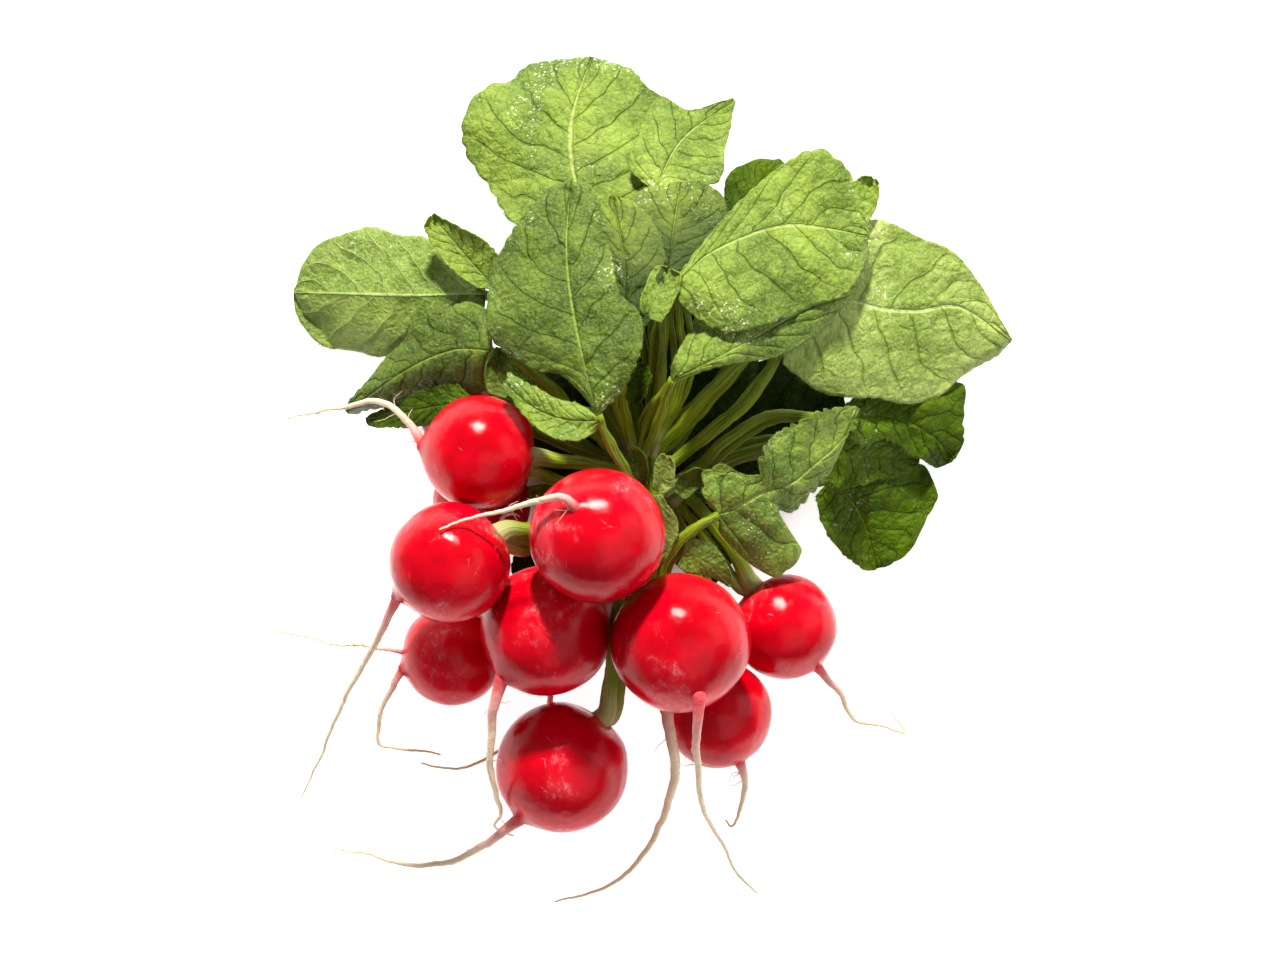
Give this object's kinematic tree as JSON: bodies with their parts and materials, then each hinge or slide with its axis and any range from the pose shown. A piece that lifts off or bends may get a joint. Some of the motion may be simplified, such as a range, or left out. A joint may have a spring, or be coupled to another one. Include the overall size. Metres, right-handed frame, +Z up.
{
  "type": "bunch of radishes",
  "caption": "Bunch of round red radishes with pale taproots and fresh green leaves, lying on a table with the leaves fanned out.",
  "frame": {"origin": "bottom centre of the bounding box, on the table that the bunch lies on", "axes": "+Z up from the table, +Y from the roots towards the leaf tips, +X to the right as seen from above"},
  "size_m": [0.1886, 0.2142, 0.0719],
  "materials": {
    "radish_skin": "smooth, glossy, with fine pale scratches",
    "leaf_blade": "satin, veined, finely hairy",
    "leaf_stalk": "satin, ribbed lengthwise"
  },
  "bodies": {
    "root": {"radish_left_upper": "radish_skin", "radish_left_middle": "radish_skin", "radish_top": "radish_skin", "radish_center": "radish_skin", "radish_right_center": "radish_skin", "radish_left_lower": "radish_skin", "radish_front": "radish_skin", "radish_right": "radish_skin", "radish_right_front": "radish_skin", "radish_behind_root": "radish_skin", "radish_under_leaf": "radish_skin", "radish_gap": "radish_skin", "radish_small_hidden": "radish_skin", "leaf_stalks": "leaf_stalk", "leaf_front_center": "leaf_blade", "leaf_right_upper": "leaf_blade", "leaf_right_under": "leaf_blade", "leaf_left_folded": "leaf_blade", "leaf_heart_curled": "leaf_blade", "leaf_right_large": "leaf_blade", "leaf_left_large": "leaf_blade", "leaf_left_small": "leaf_blade", "leaf_left_low": "leaf_blade", "leaf_left_dark": "leaf_blade", "leaf_top_large": "leaf_blade", "leaf_top_pointed": "leaf_blade", "leaf_middle_light": "leaf_blade", "leaf_middle_dark": "leaf_blade", "leaf_back_right": "leaf_blade", "leaf_back_curl": "leaf_blade", "leaf_right_dark": "leaf_blade", "leaf_right_low": "leaf_blade", "leaf_right_bottom": "leaf_blade", "leaf_front_lobed": "leaf_blade", "leaf_front_small": "leaf_blade", "leaf_behind_top_radish": "leaf_blade", "leaf_stalk_wing": "leaf_blade", "leaf_heart_bright": "leaf_blade", "leaf_heart_folded": "leaf_blade", "leaf_heart_curly": "leaf_blade", "leaf_under_heart": "leaf_blade", "leaf_under_right": "leaf_blade", "leaf_under_left": "leaf_blade", "leaf_under_front": "leaf_blade", "leaf_under_bulbs": "leaf_blade"}
  },
  "joints": []
}
